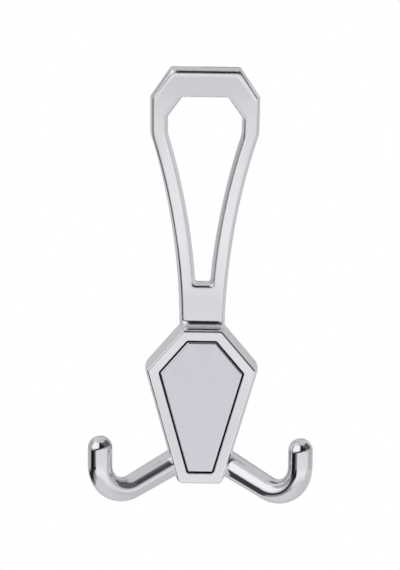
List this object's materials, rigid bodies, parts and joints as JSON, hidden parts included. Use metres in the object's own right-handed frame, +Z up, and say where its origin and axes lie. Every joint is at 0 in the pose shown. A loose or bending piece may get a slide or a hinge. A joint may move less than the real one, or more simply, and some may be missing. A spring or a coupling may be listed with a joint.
{
  "type": "coat hook",
  "caption": "Wall coat hook with an open upper loop, a coffin-shaped backplate with an inset cover plate, and upturned lower prongs",
  "frame": {"origin": "on the wall plane, behind the widest row of the backplate", "axes": "+Z up, +Y into the wall, +X to the right as seen from the front"},
  "size_m": [0.085, 0.0279, 0.1649],
  "materials": {
    "chrome_casting": "polished",
    "chrome_cover": "polished"
  },
  "bodies": {
    "root": {"hook_body": "chrome_casting", "cover_plate": "chrome_cover"}
  },
  "joints": []
}
